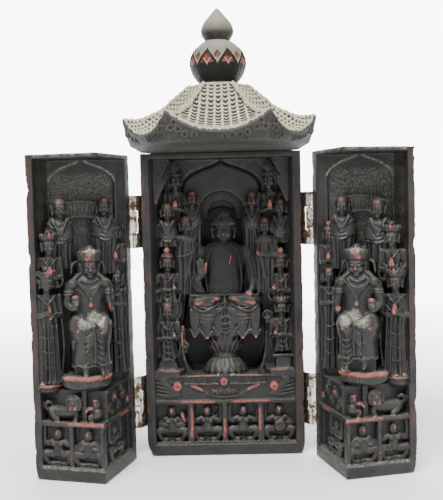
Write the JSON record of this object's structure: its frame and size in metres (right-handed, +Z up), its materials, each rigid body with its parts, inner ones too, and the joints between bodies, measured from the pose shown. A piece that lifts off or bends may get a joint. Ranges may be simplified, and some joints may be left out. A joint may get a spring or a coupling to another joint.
{
  "type": "folding shrine box",
  "caption": "Hexagonal carved shrine box with a tiled roof and a lotus finial. Its front is two hinged doors, shown open, with figures carved in the niches.",
  "frame": {"origin": "middle of the central section's underside", "axes": "+Z up, the open front looks along -Y, +X to the viewer's right when facing it"},
  "size_m": [0.2116, 0.0987, 0.2634],
  "materials": {
    "lacquer": "near-black lacquer, satin, with brick-red rubbed high points and pale dust",
    "tiles": "dusty pale grey-tan paint",
    "bronze": "worn grey bronze-like paint with brick-red in the petals",
    "hinge_nickel": "bright plated steel with brown, rusty edges"
  },
  "bodies": {
    "shrine": {"shrine_body": "lacquer", "roof": "tiles", "finial": "bronze", "left_lower_hinge_body_leaf": "hinge_nickel", "left_lower_hinge_pin": "hinge_nickel", "left_upper_hinge_body_leaf": "hinge_nickel", "left_upper_hinge_pin": "hinge_nickel", "right_lower_hinge_body_leaf": "hinge_nickel", "right_lower_hinge_pin": "hinge_nickel", "right_upper_hinge_body_leaf": "hinge_nickel", "right_upper_hinge_pin": "hinge_nickel"},
    "left_door": {"left_door": "lacquer", "left_lower_hinge_door_leaf": "hinge_nickel", "left_upper_hinge_door_leaf": "hinge_nickel"},
    "right_door": {"right_door": "lacquer", "right_lower_hinge_door_leaf": "hinge_nickel", "right_upper_hinge_door_leaf": "hinge_nickel"}
  },
  "joints": [
    {"name": "left_door_hinge", "type": "hinge", "parent": "shrine", "child": "left_door", "pos_m": [-0.0517, -0.02122, 0], "axis": [0, 0, -1], "range_deg": [-105, 75]},
    {"name": "right_door_hinge", "type": "hinge", "parent": "shrine", "child": "right_door", "pos_m": [0.0517, -0.02122, 0], "axis": [0, 0, 1], "range_deg": [-105, 75]}
  ]
}
